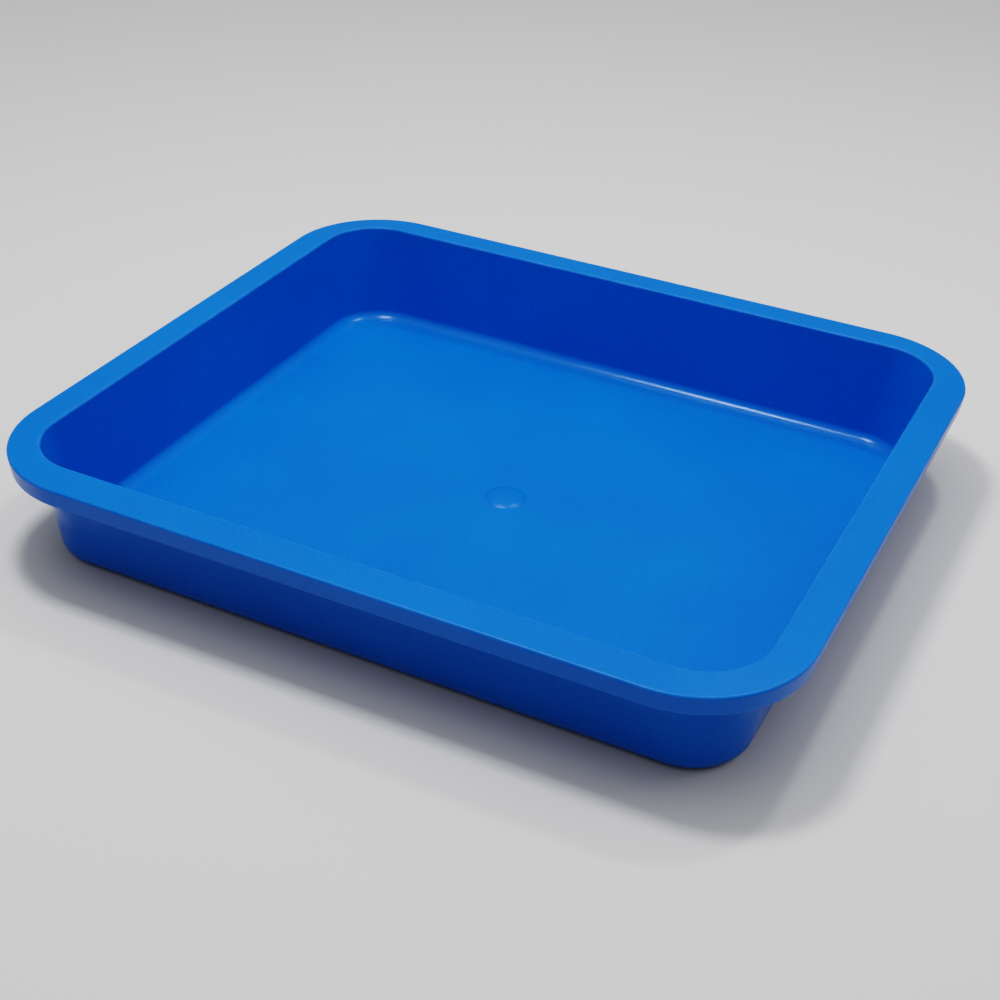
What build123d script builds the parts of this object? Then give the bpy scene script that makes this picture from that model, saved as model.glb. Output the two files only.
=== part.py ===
from build123d import *
import os
from math import cos, radians, sin, tan

# Mud pan: a shallow rectangular tray moulded in one shot of plastic.
# One continuous skin makes the floor, the four drafted walls, the flat rim that
# stands out from them, and the skirt that turns down from the rim's outer edge.
# Origin: centre of the base, on the surface that the pan stands on. +X runs along
# the longer side, +Z points out of the open top. All sizes are in millimetres.

# rim outline, seen from above
RIM_LENGTH = 400.0
RIM_WIDTH = 349.0
RIM_CORNER_R = 54.5

# mouth of the tray, where the rim meets the inner walls
RIM_BAND = 18.0
MOUTH_CORNER_R = 31.0

# heights above the base
RIM_EDGE_Z = 58.0
RIM_RISE = 1.2
SKIRT_HEIGHT = 9.6

# the skin and its draft
SKIN = 2.4
WALL_DRAFT = 6.2
SKIRT_DRAFT = 7.5
BODY_CORNER_R = 33.8

# rounded edges
RIM_EDGE_R = 1.2
MOUTH_EDGE_R = 1.2
SKIRT_EDGE_R = 0.6
SKIRT_ROOT_R = 1.0
UNDER_RIM_R = 1.5
BASE_OUTER_R = 8.4
FLOOR_R = 6.4

# button at the moulding gate: a crowned disc with a rounded shoulder, and a hollow under it
BUTTON_D = 21.6
SHOULDER_R = 10.0
CROWN_TURN = 6.0
SHOULDER_TURN = 31.0
GATE_HOLLOW_D = 16.0
GATE_HOLLOW_DEPTH = 1.6
GATE_STUB_D = 2.5
GATE_STUB_LENGTH = 0.7

# levels and offsets that follow from the sizes above
MOUTH_Z = RIM_EDGE_Z + RIM_RISE
SKIRT_Z = RIM_EDGE_Z - SKIRT_HEIGHT
UNDER_RIM_Z = RIM_EDGE_Z - SKIN
WALL_SLOPE = tan(radians(WALL_DRAFT))
SKIRT_SLOPE = tan(radians(SKIRT_DRAFT))
SKIN_LEVEL = SKIN / cos(radians(WALL_DRAFT))
CROWN_EDGE = BUTTON_D / 2 - SHOULDER_R * (sin(radians(SHOULDER_TURN)) - sin(radians(CROWN_TURN)))
CROWN_R = CROWN_EDGE / sin(radians(CROWN_TURN))
WALL_TOP_SHARE = 0.75
OVERCUT = 5.0
LEVEL_TOL = 0.01


def outline(inset, corner_r, z):
    """The rounded rectangle at height z whose sides stand inset from the rim's."""
    shape = RectangleRounded(RIM_LENGTH - 2 * inset, RIM_WIDTH - 2 * inset, corner_r)
    return Pos(0, 0, z) * shape


def drafted(inset, corner_r, slope, z_top, z_bottom):
    """A block whose sides lean in, going down, with cone-shaped corners."""
    step = (z_top - z_bottom) * slope
    top = outline(inset, corner_r, z_top)
    bottom = outline(inset + step, corner_r - step, z_bottom)
    return loft([bottom.face(), top.face()], ruled=True)


def inner_inset(z):
    """How far the tray's inner wall stands in from the rim's side at height z."""
    return RIM_BAND + (MOUTH_Z - z) * WALL_SLOPE


def body_block():
    """The outer form of the tray below its rim, rounded at the base."""
    inset = inner_inset(SKIRT_Z) - SKIN_LEVEL
    grow = (UNDER_RIM_Z + RIM_RISE - SKIRT_Z) * WALL_SLOPE
    top_z = UNDER_RIM_Z + RIM_RISE
    block = drafted(inset - grow, BODY_CORNER_R + grow, WALL_SLOPE, top_z, 0)
    return fillet(block.edges().group_by(Axis.Z)[0], BASE_OUTER_R)


def cavity_block():
    """The space inside the tray: corners of one radius, and a rounded edge round the floor."""
    top_z = MOUTH_Z + OVERCUT
    top = outline(inner_inset(top_z), MOUTH_CORNER_R, top_z)
    bottom = outline(inner_inset(SKIN), MOUTH_CORNER_R, SKIN)
    block = loft([bottom.face(), top.face()], ruled=True)
    return fillet(block.edges().group_by(Axis.Z)[0], FLOOR_R)


def rim_block():
    """The rim and skirt as a solid slab, its top falling gently to the outer edge."""
    slab = drafted(0, RIM_CORNER_R, SKIRT_SLOPE, RIM_EDGE_Z, SKIRT_Z)
    edge = outline(0, RIM_CORNER_R, RIM_EDGE_Z)
    mouth = outline(RIM_BAND, MOUTH_CORNER_R, MOUTH_Z)
    return slab + loft([edge.face(), mouth.face()], ruled=True)


def skirt_space():
    """The open space behind the skirt and under the rim, before the body fills its middle."""
    inset = SKIN + (RIM_EDGE_Z - UNDER_RIM_Z) * SKIRT_SLOPE
    corner_r = RIM_CORNER_R - inset
    grow = OVERCUT * SKIRT_SLOPE
    lower = drafted(inset, corner_r, SKIRT_SLOPE, UNDER_RIM_Z, SKIRT_Z - OVERCUT)
    edge = outline(inset, corner_r, UNDER_RIM_Z)
    inner = outline(RIM_BAND, MOUTH_CORNER_R, UNDER_RIM_Z + RIM_RISE)
    return lower + loft([edge.face(), inner.face()], ruled=True)


def cap(diameter, rise):
    """A shallow spherical cap standing on z = 0."""
    radius = (diameter**2 / 4 + rise**2) / (2 * rise)
    ball = Pos(0, 0, rise - radius) * Sphere(radius)
    return ball & Pos(0, 0, rise) * Box(diameter, diameter, 2 * rise)


def button():
    """The button on the floor, with a root that reaches down into the skin."""
    crown = JernArc((0, 0), (1, 0), CROWN_R, -CROWN_TURN)
    shoulder = JernArc(crown @ 1, crown % 1, SHOULDER_R, CROWN_TURN - SHOULDER_TURN)
    foot = shoulder @ 1
    root = foot.Y - SKIN / 4
    sides = Polyline(foot, (foot.X, root), (0, root), (0, 0))
    half_section = Plane.XZ * make_face([crown, shoulder, sides])
    return Pos(0, 0, SKIN - foot.Y) * revolve(half_section, Axis.Z)


def edges_at(shape, z):
    """The edges of shape that lie wholly at height z."""
    return shape.edges().filter_by_position(Axis.Z, z - LEVEL_TOL, z + LEVEL_TOL)


def wall_top_edges(shape):
    """The inside corner where the outer walls run up into the underside of the rim."""
    low = UNDER_RIM_Z + WALL_TOP_SHARE * RIM_RISE
    return shape.edges().filter_by_position(Axis.Z, low, UNDER_RIM_Z + RIM_RISE)


def mud_pan():
    """The whole moulding as one solid."""
    pan = rim_block() - skirt_space() + body_block() - cavity_block()
    pan = fillet(wall_top_edges(pan), UNDER_RIM_R)
    pan = fillet(edges_at(pan, UNDER_RIM_Z), SKIRT_ROOT_R)
    pan = fillet(edges_at(pan, MOUTH_Z), MOUTH_EDGE_R)
    pan = fillet(edges_at(pan, RIM_EDGE_Z), RIM_EDGE_R)
    pan = fillet(edges_at(pan, SKIRT_Z), SKIRT_EDGE_R)
    pan += button()
    pan -= cap(GATE_HOLLOW_D, GATE_HOLLOW_DEPTH)
    stub_z = GATE_HOLLOW_DEPTH - GATE_STUB_LENGTH
    stub = Cylinder(GATE_STUB_D / 2, SKIN, align=(Align.CENTER, Align.CENTER, Align.MIN))
    pan += Pos(0, 0, stub_z) * stub
    return pan


if __name__ == "__main__":
    os.makedirs("parts", exist_ok=True)
    export_step(mud_pan(), "parts/pan.step")
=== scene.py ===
import math

import bpy
from mathutils import Matrix, Vector


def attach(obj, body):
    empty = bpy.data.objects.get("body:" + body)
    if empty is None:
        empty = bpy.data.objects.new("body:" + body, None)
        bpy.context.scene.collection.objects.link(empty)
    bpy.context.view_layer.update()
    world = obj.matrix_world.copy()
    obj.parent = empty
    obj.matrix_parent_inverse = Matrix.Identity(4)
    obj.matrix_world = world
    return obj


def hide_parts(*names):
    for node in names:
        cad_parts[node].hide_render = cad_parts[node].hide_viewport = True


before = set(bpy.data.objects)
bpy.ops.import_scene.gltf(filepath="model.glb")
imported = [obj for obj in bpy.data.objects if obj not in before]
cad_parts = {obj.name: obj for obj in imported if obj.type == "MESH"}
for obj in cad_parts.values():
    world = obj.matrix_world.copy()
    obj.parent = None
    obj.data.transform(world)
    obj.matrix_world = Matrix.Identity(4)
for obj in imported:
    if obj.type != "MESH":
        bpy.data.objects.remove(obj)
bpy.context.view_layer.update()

# ---------------------------------------------------------------- sizes, metres
MM = 0.001
NODE = "pan"

# rim outline, seen from above
RIM_HALF_LENGTH = 200.0 * MM
RIM_HALF_WIDTH = 174.5 * MM
RIM_CORNER_R = 54.5 * MM

# mouth of the tray, where the rim meets the inner walls
RIM_BAND = 18.0 * MM
MOUTH_CORNER_R = 31.0 * MM

# heights above the base
RIM_EDGE_Z = 58.0 * MM
RIM_RISE = 1.2 * MM
SKIRT_HEIGHT = 9.6 * MM

# the skin and its draft
SKIN = 2.4 * MM
WALL_DRAFT = math.radians(6.2)
WALL_SLOPE = math.tan(WALL_DRAFT)
SKIRT_SLOPE = math.tan(math.radians(7.5))
BODY_CORNER_R = 33.8 * MM

# rounded edges
RIM_EDGE_R = 1.2 * MM
MOUTH_EDGE_R = 1.2 * MM
SKIRT_EDGE_R = 0.6 * MM
SKIRT_ROOT_R = 1.0 * MM
UNDER_RIM_R = 1.5 * MM
BASE_OUTER_R = 8.4 * MM

# the fillet between floor and wall: the wide arc leaves the floor and turns this far,
# then the tight one turns on into the wall
FILLET_WIDE_R = 9.5 * MM
FILLET_TIGHT_R = 4.5 * MM
FILLET_TURN = math.radians(46)

# faint raised lines on the floor beside the fillet: how far in and how high each is, how
# far it spreads to either side, and the band of floor that is divided finely for them
RELIEF_LINES = ((1.6 * MM, 0.05 * MM), (5.4 * MM, 0.04 * MM))
RELIEF_LINE_REACH = 1.3 * MM
RELIEF_WIDTH = 7.0 * MM

# button over the moulding gate, and the hollow and the gate's stub under it
BUTTON_R = 10.8 * MM
BUTTON_SHOULDER_R = 10.0 * MM
CROWN_TURN = math.radians(6)
SHOULDER_TURN = math.radians(31)
BUTTON_FOOT = 0.5 * MM
HOLLOW_R = 8.0 * MM
HOLLOW_DEPTH = 1.6 * MM
STUB_R = 1.25 * MM
STUB_LENGTH = 0.7 * MM
STUB_ROOT = 0.15 * MM

# levels and offsets that follow from the sizes above
MOUTH_Z = RIM_EDGE_Z + RIM_RISE
SKIRT_Z = RIM_EDGE_Z - SKIRT_HEIGHT
UNDER_RIM_Z = RIM_EDGE_Z - SKIN
SKIN_LEVEL = SKIN * math.hypot(1, WALL_SLOPE)

# how finely the surface is divided
CORNERS = ((1, 1), (-1, 1), (-1, -1), (1, -1))
CORNER_STEPS = 32
SIDE_STEPS = 24
ARC_STEPS = 8
FILLET_FADE_STEPS = 5
CROWN_STEPS = 6
SHOULDER_STEPS = 10
FLAT_STEPS = 12
HOLLOW_STEPS = 10
RELIEF_STEPS = 28
LONGEST_FACE = 6.0 * MM

# a row this far beside each rounded edge keeps the flat face next to it flat, and a point
# this far in over the base gives the base's edge its direction
SUPPORT = 0.35 * MM
BASE_LEAD = 20.0 * MM

# grain of a face: 0 is polished by the mould, 1 is fully matte
SMOOTH = 0.0
MATTE = 1.0
BUTTON_GRAIN = 0.5
SKIRT_GRAIN = 0.6
WALL_GRAIN = 0.6

# how much each edge is exposed to rubbing, from 0 to 1; the paler rub is wear, and along the
# skirt's lower edge it is also a painted highlight
SHELTERED = 0.0
MOUTH_EXPOSURE = 0.7
RIM_EXPOSURE = 0.5
# the skirt's lower edge is paled fully: wear, and a painted highlight where that edge catches
# light from below
SKIRT_RUB_AND_HIGHLIGHT = 1.0
SKIRT_INSIDE_EXPOSURE = 0.4
BASE_EXPOSURE = 0.5

# ---------------------------------------------------------------- looks
BLUE_DARK = (0.0, 0.102, 0.49, 1)
BLUE_LIGHT = (0.0, 0.126, 0.56, 1)
# paler blue of rubbed edges, which along the skirt's lower edge is also a painted highlight
BLUE_RUBBED_AND_HIGHLIGHT = (0.03, 0.17, 0.64, 1)
PLASTIC_SPECULAR = 0.28
PLASTIC_SHEEN = (0.35, 0.47, 1.0, 1)
ROUGH_SMOOTH = 0.16
ROUGH_MATTE = 0.38
ROUGH_DRIFT = 0.015

# the moulded grain, and how strongly it shows on a polished and on a matte face
GRAIN_SIZE = 0.4 * MM
GRAIN_DEPTH = 0.10 * MM
GRAIN_DETAIL = 3
BUMP_SMOOTH = 0.25
BUMP_MATTE = 1

# fine mottling and wide clouds in the colour, and the share that each has in it
MOTTLE_SIZE = 1.1 * MM
MOTTLE_SHARE = 0.65
CLOUD_SIZE = 70 * MM
CLOUD_SHARE = 0.35
TONE_DETAIL = 2
TONE_NOISE = (0.35, 0.65)

# where the edges are rubbed: the noise that counts, and how much paler it makes them; the paler
# edge is wear, and on the skirt's lower edge also a painted highlight
RUB_SIZE = 9 * MM
RUB_DETAIL = 3
RUB_NOISE = (0.4, 0.7)
RUB_SHARE = (0.15, 0.6)

# ---------------------------------------------------------------- stage
FLOOR_HALF = 6.0
FLOOR_TONE = 0.56
FLOOR_ROUGHNESS = 0.9
FLOOR_SPECULAR = 0.1

# the sky's level all round, what it gains overhead, and how closely that gathers there
SKY_ALL_ROUND = 0.155
SKY_OVERHEAD = 1.6
SKY_GATHER = 6

LAMP_TARGET = (0, 0, 0.03)
KEY_PLACE = (-0.215, -0.03, 1.06)
KEY_SIZE = (0.18, 0.19)
KEY_RADIANCE = 64
FILL_PLACE = (0.20, 0.46, 1.06)
FILL_SIZE = (0.10, 0.10)
FILL_RADIANCE = 84
WASH_PLACE = (0.85, 0.45, 0.60)
WASH_SIZE = (0.50, 0.50)
WASH_RADIANCE = 1.8

CAMERA_AZIMUTH = 25.78
CAMERA_ELEVATION = 32.73
CAMERA_ROLL = 1.93
CAMERA_DISTANCE = 0.756
CAMERA_TARGET = (0.03636, -0.08128, RIM_EDGE_Z)
CAMERA_LENS = 59.79
CAMERA_SENSOR = 36


# ---------------------------------------------------------------- the moulding
def ring(inset, corner_r, z):
    """Points round a rounded rectangle whose sides stand inset from the rim's, at height z."""
    cx = RIM_HALF_LENGTH - inset - corner_r
    cy = RIM_HALF_WIDTH - inset - corner_r

    def corner_point(corner, a):
        sx, sy = corner
        return Vector((sx * cx + corner_r * math.cos(a), sy * cy + corner_r * math.sin(a), z))

    points = []
    for quarter, corner in enumerate(CORNERS):
        for step in range(CORNER_STEPS):
            a = math.pi / 2 * (quarter + step / CORNER_STEPS)
            points.append(corner_point(corner, a))
        a = math.pi / 2 * (quarter + 1)
        start = corner_point(corner, a)
        end = corner_point(CORNERS[(quarter + 1) % len(CORNERS)], a)
        points += [start.lerp(end, step / SIDE_STEPS) for step in range(SIDE_STEPS)]
    return points


def disc(like, radius, z):
    """A circle whose points lie in the same directions as those of the ring like."""
    return [(p.xy.normalized() * radius).to_3d() + Vector((0, 0, z)) for p in like]


def button_profile():
    """The height of the button's tip, and (radius, z) down its crown and its shoulder."""
    crown_edge = BUTTON_R - BUTTON_SHOULDER_R * (math.sin(SHOULDER_TURN) - math.sin(CROWN_TURN))
    crown_r = crown_edge / math.sin(CROWN_TURN)
    top = SKIN + crown_r * (1 - math.cos(CROWN_TURN))
    top += BUTTON_SHOULDER_R * (math.cos(CROWN_TURN) - math.cos(SHOULDER_TURN))
    points = []
    for step in range(1, CROWN_STEPS + 1):
        a = CROWN_TURN * step / CROWN_STEPS
        points.append((crown_r * math.sin(a), top - crown_r * (1 - math.cos(a))))
    edge_z = points[-1][1]
    for step in range(1, SHOULDER_STEPS + 1):
        a = CROWN_TURN + (SHOULDER_TURN - CROWN_TURN) * step / SHOULDER_STEPS
        points.append((crown_edge + BUTTON_SHOULDER_R * (math.sin(a) - math.sin(CROWN_TURN)),
                       edge_z - BUTTON_SHOULDER_R * (math.cos(CROWN_TURN) - math.cos(a))))
    return top, points


def inner_inset(z):
    """How far the tray's inner wall stands in from the rim's side at height z."""
    return RIM_BAND + (MOUTH_Z - z) * WALL_SLOPE


def outer_inset(z):
    """The same for the outer wall, which lies one skin further out."""
    return inner_inset(z) - SKIN_LEVEL


def tray_radius(inset, z):
    """The inner walls' corners keep one radius all the way down, and rings within are parallel."""
    return MOUTH_CORNER_R + inner_inset(z) - inset


def rim_radius(inset, _z):
    """The skirt's corners are cones, which narrow with its draft."""
    return RIM_CORNER_R - inset


def body_radius(inset, _z):
    """The outer walls' corners are cones, which narrow with their draft."""
    return BODY_CORNER_R + outer_inset(SKIRT_Z) - inset


def under_rim_corner():
    """Where the outer wall's line meets the sloping underside of the rim."""
    run_start = SKIN + (RIM_EDGE_Z - UNDER_RIM_Z) * SKIRT_SLOPE
    rise = RIM_RISE / (RIM_BAND - run_start)
    # inset = outer_inset(z) and z = UNDER_RIM_Z + rise * (inset - run_start)
    z = (UNDER_RIM_Z + rise * (outer_inset(0) - run_start)) / (1 + rise * WALL_SLOPE)
    return outer_inset(z), z


def rounded(before, corner, after, radius):
    """Points of the arc that rounds a profile's corner, from one tangent point to the other."""
    b = (before - corner).normalized()
    a = (after - corner).normalized()
    half = b.angle(a) / 2
    reach = radius / math.tan(half)
    centre = corner + (a + b).normalized() * (radius / math.sin(half))
    start = corner + b * reach - centre
    end = corner + a * reach - centre
    turn = start.angle_signed(end)
    points = []
    for step in range(ARC_STEPS + 1):
        swing = Matrix.Rotation(-turn * step / ARC_STEPS, 2)
        points.append(centre + swing @ start)
    return points


def floor_fillet():
    """(inset, z) up the curve that joins the floor to the wall."""
    wall_turn = math.pi / 2 - WALL_DRAFT
    arcs = ((FILLET_WIDE_R, 0, FILLET_TURN), (FILLET_TIGHT_R, FILLET_TURN, wall_turn))
    out = up = 0
    points = [Vector((0, 0))]
    for radius, start, end in arcs:
        for step in range(1, ARC_STEPS + 1):
            a = start + (end - start) * step / ARC_STEPS
            points.append(Vector((out + radius * (math.sin(a) - math.sin(start)),
                                  up + radius * (math.cos(start) - math.cos(a)))))
        out, up = points[-1]
    start_inset = inner_inset(SKIN + up) + out
    return [Vector((start_inset - p.x, SKIN + p.y)) for p in points]


def fillet_grain(step, last):
    """Matte where the curve leaves the floor, then polished, and duller where the wall begins."""
    if step == last:
        return WALL_GRAIN
    return max(SMOOTH, MATTE - (MATTE - SMOOTH) * step / FILLET_FADE_STEPS)


def floor_relief():
    """(distance in from the fillet, height) across the faint raised lines on the floor."""
    for step in range(RELIEF_STEPS, 0, -1):
        distance = RELIEF_WIDTH * step / RELIEF_STEPS
        height = 0
        for middle, rise in RELIEF_LINES:
            away = abs(distance - middle) / RELIEF_LINE_REACH
            if away < 1:
                height += rise * (1 + math.cos(math.pi * away)) / 2
        yield distance, height


def profile():
    """(inset, corner radius, z, grain, exposure) of each ring, from the floor to the base."""
    under_inset, under_z = under_rim_corner()
    skirt_root = SKIN + (RIM_EDGE_Z - UNDER_RIM_Z) * SKIRT_SLOPE
    skirt_inside = skirt_root + (UNDER_RIM_Z - SKIRT_Z) * SKIRT_SLOPE
    skirt_outside = SKIRT_HEIGHT * SKIRT_SLOPE
    base = outer_inset(0)
    fillet = floor_fillet()
    foot, wall = fillet[0], fillet[-1]
    # inset, z, rounding, corner radius at an inset, grain of the face that follows, exposure
    corners = [
        (wall.x, wall.y, None, tray_radius, WALL_GRAIN, SHELTERED),
        (RIM_BAND, MOUTH_Z, MOUTH_EDGE_R, tray_radius, MATTE, MOUTH_EXPOSURE),
        (0, RIM_EDGE_Z, RIM_EDGE_R, rim_radius, SKIRT_GRAIN, RIM_EXPOSURE),
        (skirt_outside, SKIRT_Z, SKIRT_EDGE_R, rim_radius, SMOOTH, SKIRT_RUB_AND_HIGHLIGHT),
        (skirt_inside, SKIRT_Z, SKIRT_EDGE_R, rim_radius, SMOOTH, SKIRT_INSIDE_EXPOSURE),
        (skirt_root, UNDER_RIM_Z, SKIRT_ROOT_R, rim_radius, SMOOTH, SHELTERED),
        (under_inset, under_z, UNDER_RIM_R, body_radius, SMOOTH, SHELTERED),
        (base, 0, BASE_OUTER_R, body_radius, MATTE, BASE_EXPOSURE),
        (base + BASE_LEAD, 0, None, body_radius, MATTE, SHELTERED),
    ]
    rings = []
    for distance, height in floor_relief():
        inset = foot.x + distance
        rings.append((inset, tray_radius(inset, SKIN), SKIN + height, MATTE, SHELTERED))
    for step, p in enumerate(fillet):
        grain = fillet_grain(step, len(fillet) - 1)
        rings.append((p.x, tray_radius(*p), p.y, grain, SHELTERED))
    for i in range(1, len(corners) - 1):
        before, here, after = (Vector(corners[j][:2]) for j in (i - 1, i, i + 1))
        rounding, radius_at, grain, exposure = corners[i][2:]
        grain_before = corners[i - 1][4]
        arc = rounded(before, here, after, rounding)
        first = arc[0] + (before - here).normalized() * SUPPORT
        last = arc[-1] + (after - here).normalized() * SUPPORT
        rings.append((first.x, radius_at(*first), first.y, grain_before, SHELTERED))
        rings += [(p.x, radius_at(*p), p.y, grain, exposure) for p in arc]
        rings.append((last.x, radius_at(*last), last.y, grain, SHELTERED))
    return rings


class Row:
    """One closed row of points round the pan, with the surface's grain and exposure there."""

    def __init__(self, points, grain=MATTE, edge=SHELTERED):
        self.points = points
        self.grain = grain
        self.edge = edge

    def toward(self, other, share):
        """The row that lies at that share of the way to another."""
        points = [p.lerp(q, share) for p, q in zip(self.points, other.points)]
        grain = self.grain + (other.grain - self.grain) * share
        return Row(points, grain, self.edge + (other.edge - self.edge) * share)


def shell_rows():
    """Rows from the floor's edge, up the wall, over the rim and down to the base."""
    rings = [Row(ring(inset, corner_r, z), grain, exposure)
             for inset, corner_r, z, grain, exposure in profile()]
    rows = []
    for a, b in zip(rings, rings[1:]):
        cuts = int((a.points[0] - b.points[0]).length / LONGEST_FACE)
        rows += [a.toward(b, k / (cuts + 1)) for k in range(cuts + 1)]
    return rows + [rings[-1]]


def inside_rows(edge):
    """The height of the button's tip, and the rows from near it out to the floor's edge."""
    top, spots = button_profile()
    button = [Row(disc(edge.points, radius, z), BUTTON_GRAIN) for radius, z in spots]
    foot = Row(disc(edge.points, BUTTON_R + BUTTON_FOOT, SKIN))
    floor = [foot.toward(edge, k / FLAT_STEPS) for k in range(FLAT_STEPS)]
    return top, button + floor


def underside_rows(edge):
    """The height of the stub's end, and the rows in over the base and the hollow to it."""
    lip = Row(disc(edge.points, HOLLOW_R + SUPPORT, 0))
    base = [edge.toward(lip, (k + 1) / FLAT_STEPS) for k in range(FLAT_STEPS)]
    ball_r = (HOLLOW_R**2 + HOLLOW_DEPTH**2) / (2 * HOLLOW_DEPTH)
    hollow = []
    for k in range(HOLLOW_STEPS + 1):
        radius = HOLLOW_R + (STUB_R + STUB_ROOT - HOLLOW_R) * k / HOLLOW_STEPS
        z = HOLLOW_DEPTH - ball_r + math.sqrt(ball_r**2 - radius**2)
        hollow.append(Row(disc(edge.points, radius, z)))
    end = HOLLOW_DEPTH - STUB_LENGTH
    root = HOLLOW_DEPTH - STUB_ROOT
    stub = [Row(disc(edge.points, radius, z)) for radius, z in (
        (STUB_R, root), (STUB_R, end + STUB_ROOT), (STUB_R - STUB_ROOT, end), (STUB_R / 2, end))]
    return end, base + hollow + stub


def build_pan():
    """The whole skin as one closed mesh."""
    shell = shell_rows()
    button_top, inside = inside_rows(shell[0])
    stub_end, underside = underside_rows(shell[-1])
    rows = inside + shell + underside
    around = len(rows[0].points)
    points = [p for row in rows for p in row.points]
    points += [Vector((0, 0, button_top)), Vector((0, 0, stub_end))]
    button_tip = len(points) - 2
    stub_tip = len(points) - 1
    last = (len(rows) - 1) * around
    faces = []
    for a in range(0, last, around):
        b = a + around
        for i in range(around):
            j = (i + 1) % around
            faces.append((a + i, a + j, b + j, b + i))
    for i in range(around):
        j = (i + 1) % around
        faces.append((j, i, button_tip))
        faces.append((last + i, last + j, stub_tip))
    mesh = bpy.data.meshes.new("pan_skin")
    mesh.from_pydata(points, [], faces)
    mesh.polygons.foreach_set("use_smooth", [True] * len(mesh.polygons))
    for name, at_tip in (("grain", MATTE), ("edge", SHELTERED)):
        values = [getattr(row, name) for row in rows for _ in row.points]
        values += [at_tip, at_tip]
        mesh.attributes.new(name, "FLOAT", "POINT").data.foreach_set("value", values)
    mesh.validate()
    skin = bpy.data.objects.new("pan_skin", mesh)
    bpy.context.scene.collection.objects.link(skin)
    return skin


# ---------------------------------------------------------------- materials
class Nodes:
    """Short ways to add and join the nodes of one material or of the sky."""

    def __init__(self, tree):
        self.tree = tree

    def add(self, kind, **settings):
        node = self.tree.nodes.new("ShaderNode" + kind)
        for name, value in settings.items():
            setattr(node, name, value)
        return node

    def feed(self, socket, value):
        """Joins a socket to another one, or sets it to a constant."""
        if isinstance(value, bpy.types.NodeSocket):
            self.tree.links.new(value, socket)
        else:
            socket.default_value = value

    def noise(self, place, size, detail):
        """Noise about size metres across, from 0 to 1."""
        node = self.add("TexNoise")
        self.feed(node.inputs["Vector"], place)
        self.feed(node.inputs["Scale"], 1 / size)
        self.feed(node.inputs["Detail"], detail)
        return node.outputs["Fac"]

    def spread(self, value, low, high, into_low, into_high):
        """A value from low..high, taken to into_low..into_high and held there."""
        node = self.add("MapRange")
        for name, given in zip(("Value", "From Min", "From Max", "To Min", "To Max"),
                               (value, low, high, into_low, into_high)):
            self.feed(node.inputs[name], given)
        return node.outputs["Result"]

    def math(self, operation, *values):
        node = self.add("Math", operation=operation)
        for socket, value in zip(node.inputs, values):
            self.feed(socket, value)
        return node.outputs[0]

    def mix_colour(self, share, a, b):
        node = self.add("Mix", data_type="RGBA")
        self.feed(node.inputs["Factor"], share)
        self.feed(node.inputs["A"], a)
        self.feed(node.inputs["B"], b)
        return node.outputs["Result"]

    def attribute(self, name):
        return self.add("Attribute", attribute_name=name).outputs["Fac"]


def moulded_plastic():
    """Blue plastic: matte grain on the flat faces, smoother walls, edges rubbed a little paler,
    which along the skirt's lower edge is also a painted highlight.
    """
    mat = bpy.data.materials.new("blue_moulded_plastic")
    mat.use_nodes = True
    n = Nodes(mat.node_tree)
    shader = mat.node_tree.nodes["Principled BSDF"]
    n.feed(shader.inputs["Specular IOR Level"], PLASTIC_SPECULAR)
    n.feed(shader.inputs["Specular Tint"], PLASTIC_SHEEN)
    place = n.add("TexCoord").outputs["Object"]
    grain = n.attribute("grain")

    mottle = n.noise(place, MOTTLE_SIZE, TONE_DETAIL)
    cloud = n.noise(place, CLOUD_SIZE, TONE_DETAIL)
    tone = n.math("ADD", n.math("MULTIPLY", mottle, MOTTLE_SHARE),
                  n.math("MULTIPLY", cloud, CLOUD_SHARE))
    blue = n.mix_colour(n.spread(tone, *TONE_NOISE, 0, 1), BLUE_DARK, BLUE_LIGHT)
    rub = n.spread(n.noise(place, RUB_SIZE, RUB_DETAIL), *RUB_NOISE, *RUB_SHARE)
    # edges paled by rubbing; along the skirt's lower edge this paler blue is also a painted
    # highlight
    blue = n.mix_colour(n.math("MULTIPLY", n.attribute("edge"), rub), blue, BLUE_RUBBED_AND_HIGHLIGHT)
    n.feed(shader.inputs["Base Color"], blue)

    drift = n.spread(cloud, *TONE_NOISE, -ROUGH_DRIFT, ROUGH_DRIFT)
    rough = n.math("ADD", n.spread(grain, SMOOTH, MATTE, ROUGH_SMOOTH, ROUGH_MATTE), drift)
    n.feed(shader.inputs["Roughness"], rough)

    bump = n.add("Bump")
    n.feed(bump.inputs["Strength"], n.spread(grain, SMOOTH, MATTE, BUMP_SMOOTH, BUMP_MATTE))
    n.feed(bump.inputs["Distance"], GRAIN_DEPTH)
    n.feed(bump.inputs["Height"], n.noise(place, GRAIN_SIZE, GRAIN_DETAIL))
    n.feed(shader.inputs["Normal"], bump.outputs["Normal"])
    return mat


def pale_floor():
    mat = bpy.data.materials.new("pale_floor")
    mat.use_nodes = True
    shader = mat.node_tree.nodes["Principled BSDF"]
    shader.inputs["Base Color"].default_value = (FLOOR_TONE, FLOOR_TONE, FLOOR_TONE, 1)
    shader.inputs["Roughness"].default_value = FLOOR_ROUGHNESS
    shader.inputs["Specular IOR Level"].default_value = FLOOR_SPECULAR
    return mat


# ---------------------------------------------------------------- floor, light and camera
def add_floor():
    mesh = bpy.data.meshes.new("floor")
    s = FLOOR_HALF
    mesh.from_pydata([(-s, -s, 0), (s, -s, 0), (s, s, 0), (-s, s, 0)], [], [(0, 1, 2, 3)])
    floor = bpy.data.objects.new("floor", mesh)
    mesh.materials.append(pale_floor())
    bpy.context.scene.collection.objects.link(floor)


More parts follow.
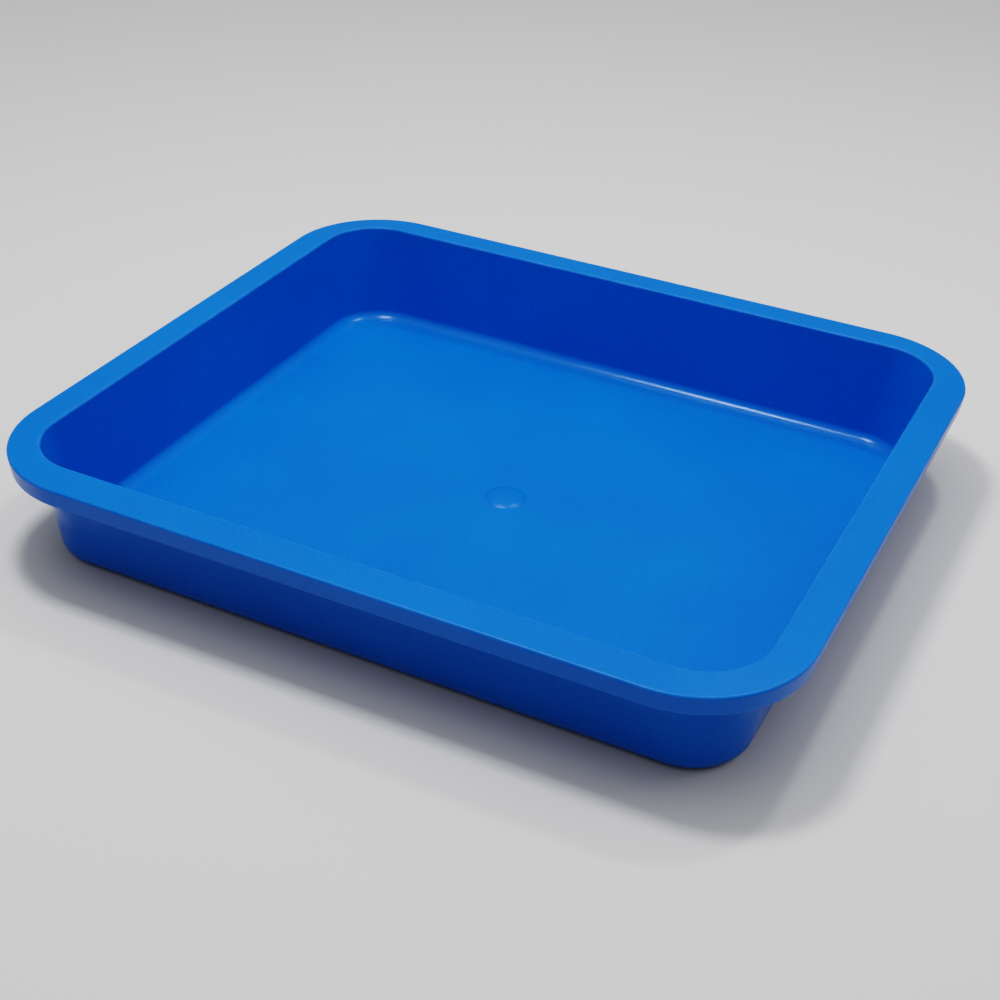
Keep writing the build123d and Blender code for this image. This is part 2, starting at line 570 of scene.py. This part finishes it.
def add_softbox(name, centre, size, radiance):
    """A rectangular lamp aimed at the middle of the pan."""
    data = bpy.data.lights.new(name, "AREA")
    data.shape = "RECTANGLE"
    data.size, data.size_y = size
    data.energy = radiance * math.pi * size[0] * size[1]
    lamp = bpy.data.objects.new(name, data)
    lamp.location = centre
    lamp.visible_camera = False
    lamp.rotation_mode = "QUATERNION"
    lamp.rotation_quaternion = (Vector(LAMP_TARGET) - lamp.location).to_track_quat("-Z", "Y")
    bpy.context.scene.collection.objects.link(lamp)


def add_sky():
    """Soft light from all round, brightest overhead."""
    world = bpy.data.worlds.new("studio")
    world.use_nodes = True
    n = Nodes(world.node_tree)
    background = world.node_tree.nodes["Background"]
    direction = n.add("SeparateXYZ")
    n.feed(direction.inputs["Vector"], n.add("TexCoord").outputs["Generated"])
    up = n.math("MAXIMUM", direction.outputs["Z"], 0)
    overhead = n.math("POWER", up, SKY_GATHER)
    level = n.math("MULTIPLY_ADD", overhead, SKY_OVERHEAD, SKY_ALL_ROUND)
    n.feed(background.inputs["Strength"], level)
    n.feed(background.inputs["Color"], (1, 1, 1, 1))
    bpy.context.scene.world = world


def add_light():
    add_sky()
    add_softbox("key_left", KEY_PLACE, KEY_SIZE, KEY_RADIANCE)
    add_softbox("fill_back_right", FILL_PLACE, FILL_SIZE, FILL_RADIANCE)
    add_softbox("wash_right", WASH_PLACE, WASH_SIZE, WASH_RADIANCE)


def add_camera():
    data = bpy.data.cameras.new("camera")
    data.lens = CAMERA_LENS
    data.sensor_width = CAMERA_SENSOR
    camera = bpy.data.objects.new("camera", data)
    a = math.radians(CAMERA_AZIMUTH)
    e = math.radians(CAMERA_ELEVATION)
    back = Vector((math.sin(a) * math.cos(e), -math.cos(a) * math.cos(e), math.sin(e)))
    camera.location = Vector(CAMERA_TARGET) + CAMERA_DISTANCE * back
    look = (-back).to_track_quat("-Z", "Y").to_matrix()
    roll = Matrix.Rotation(math.radians(CAMERA_ROLL), 3, "Z")
    camera.rotation_mode = "QUATERNION"
    camera.rotation_quaternion = (look @ roll).to_quaternion()
    bpy.context.scene.collection.objects.link(camera)
    bpy.context.scene.camera = camera


# ---------------------------------------------------------------- put together
add_camera()
add_floor()
add_light()
pan = build_pan()
pan.data.materials.append(moulded_plastic())
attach(pan, "root")
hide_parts(NODE)
view = bpy.context.scene.view_settings
view.view_transform = "Filmic"
view.look = "High Contrast"
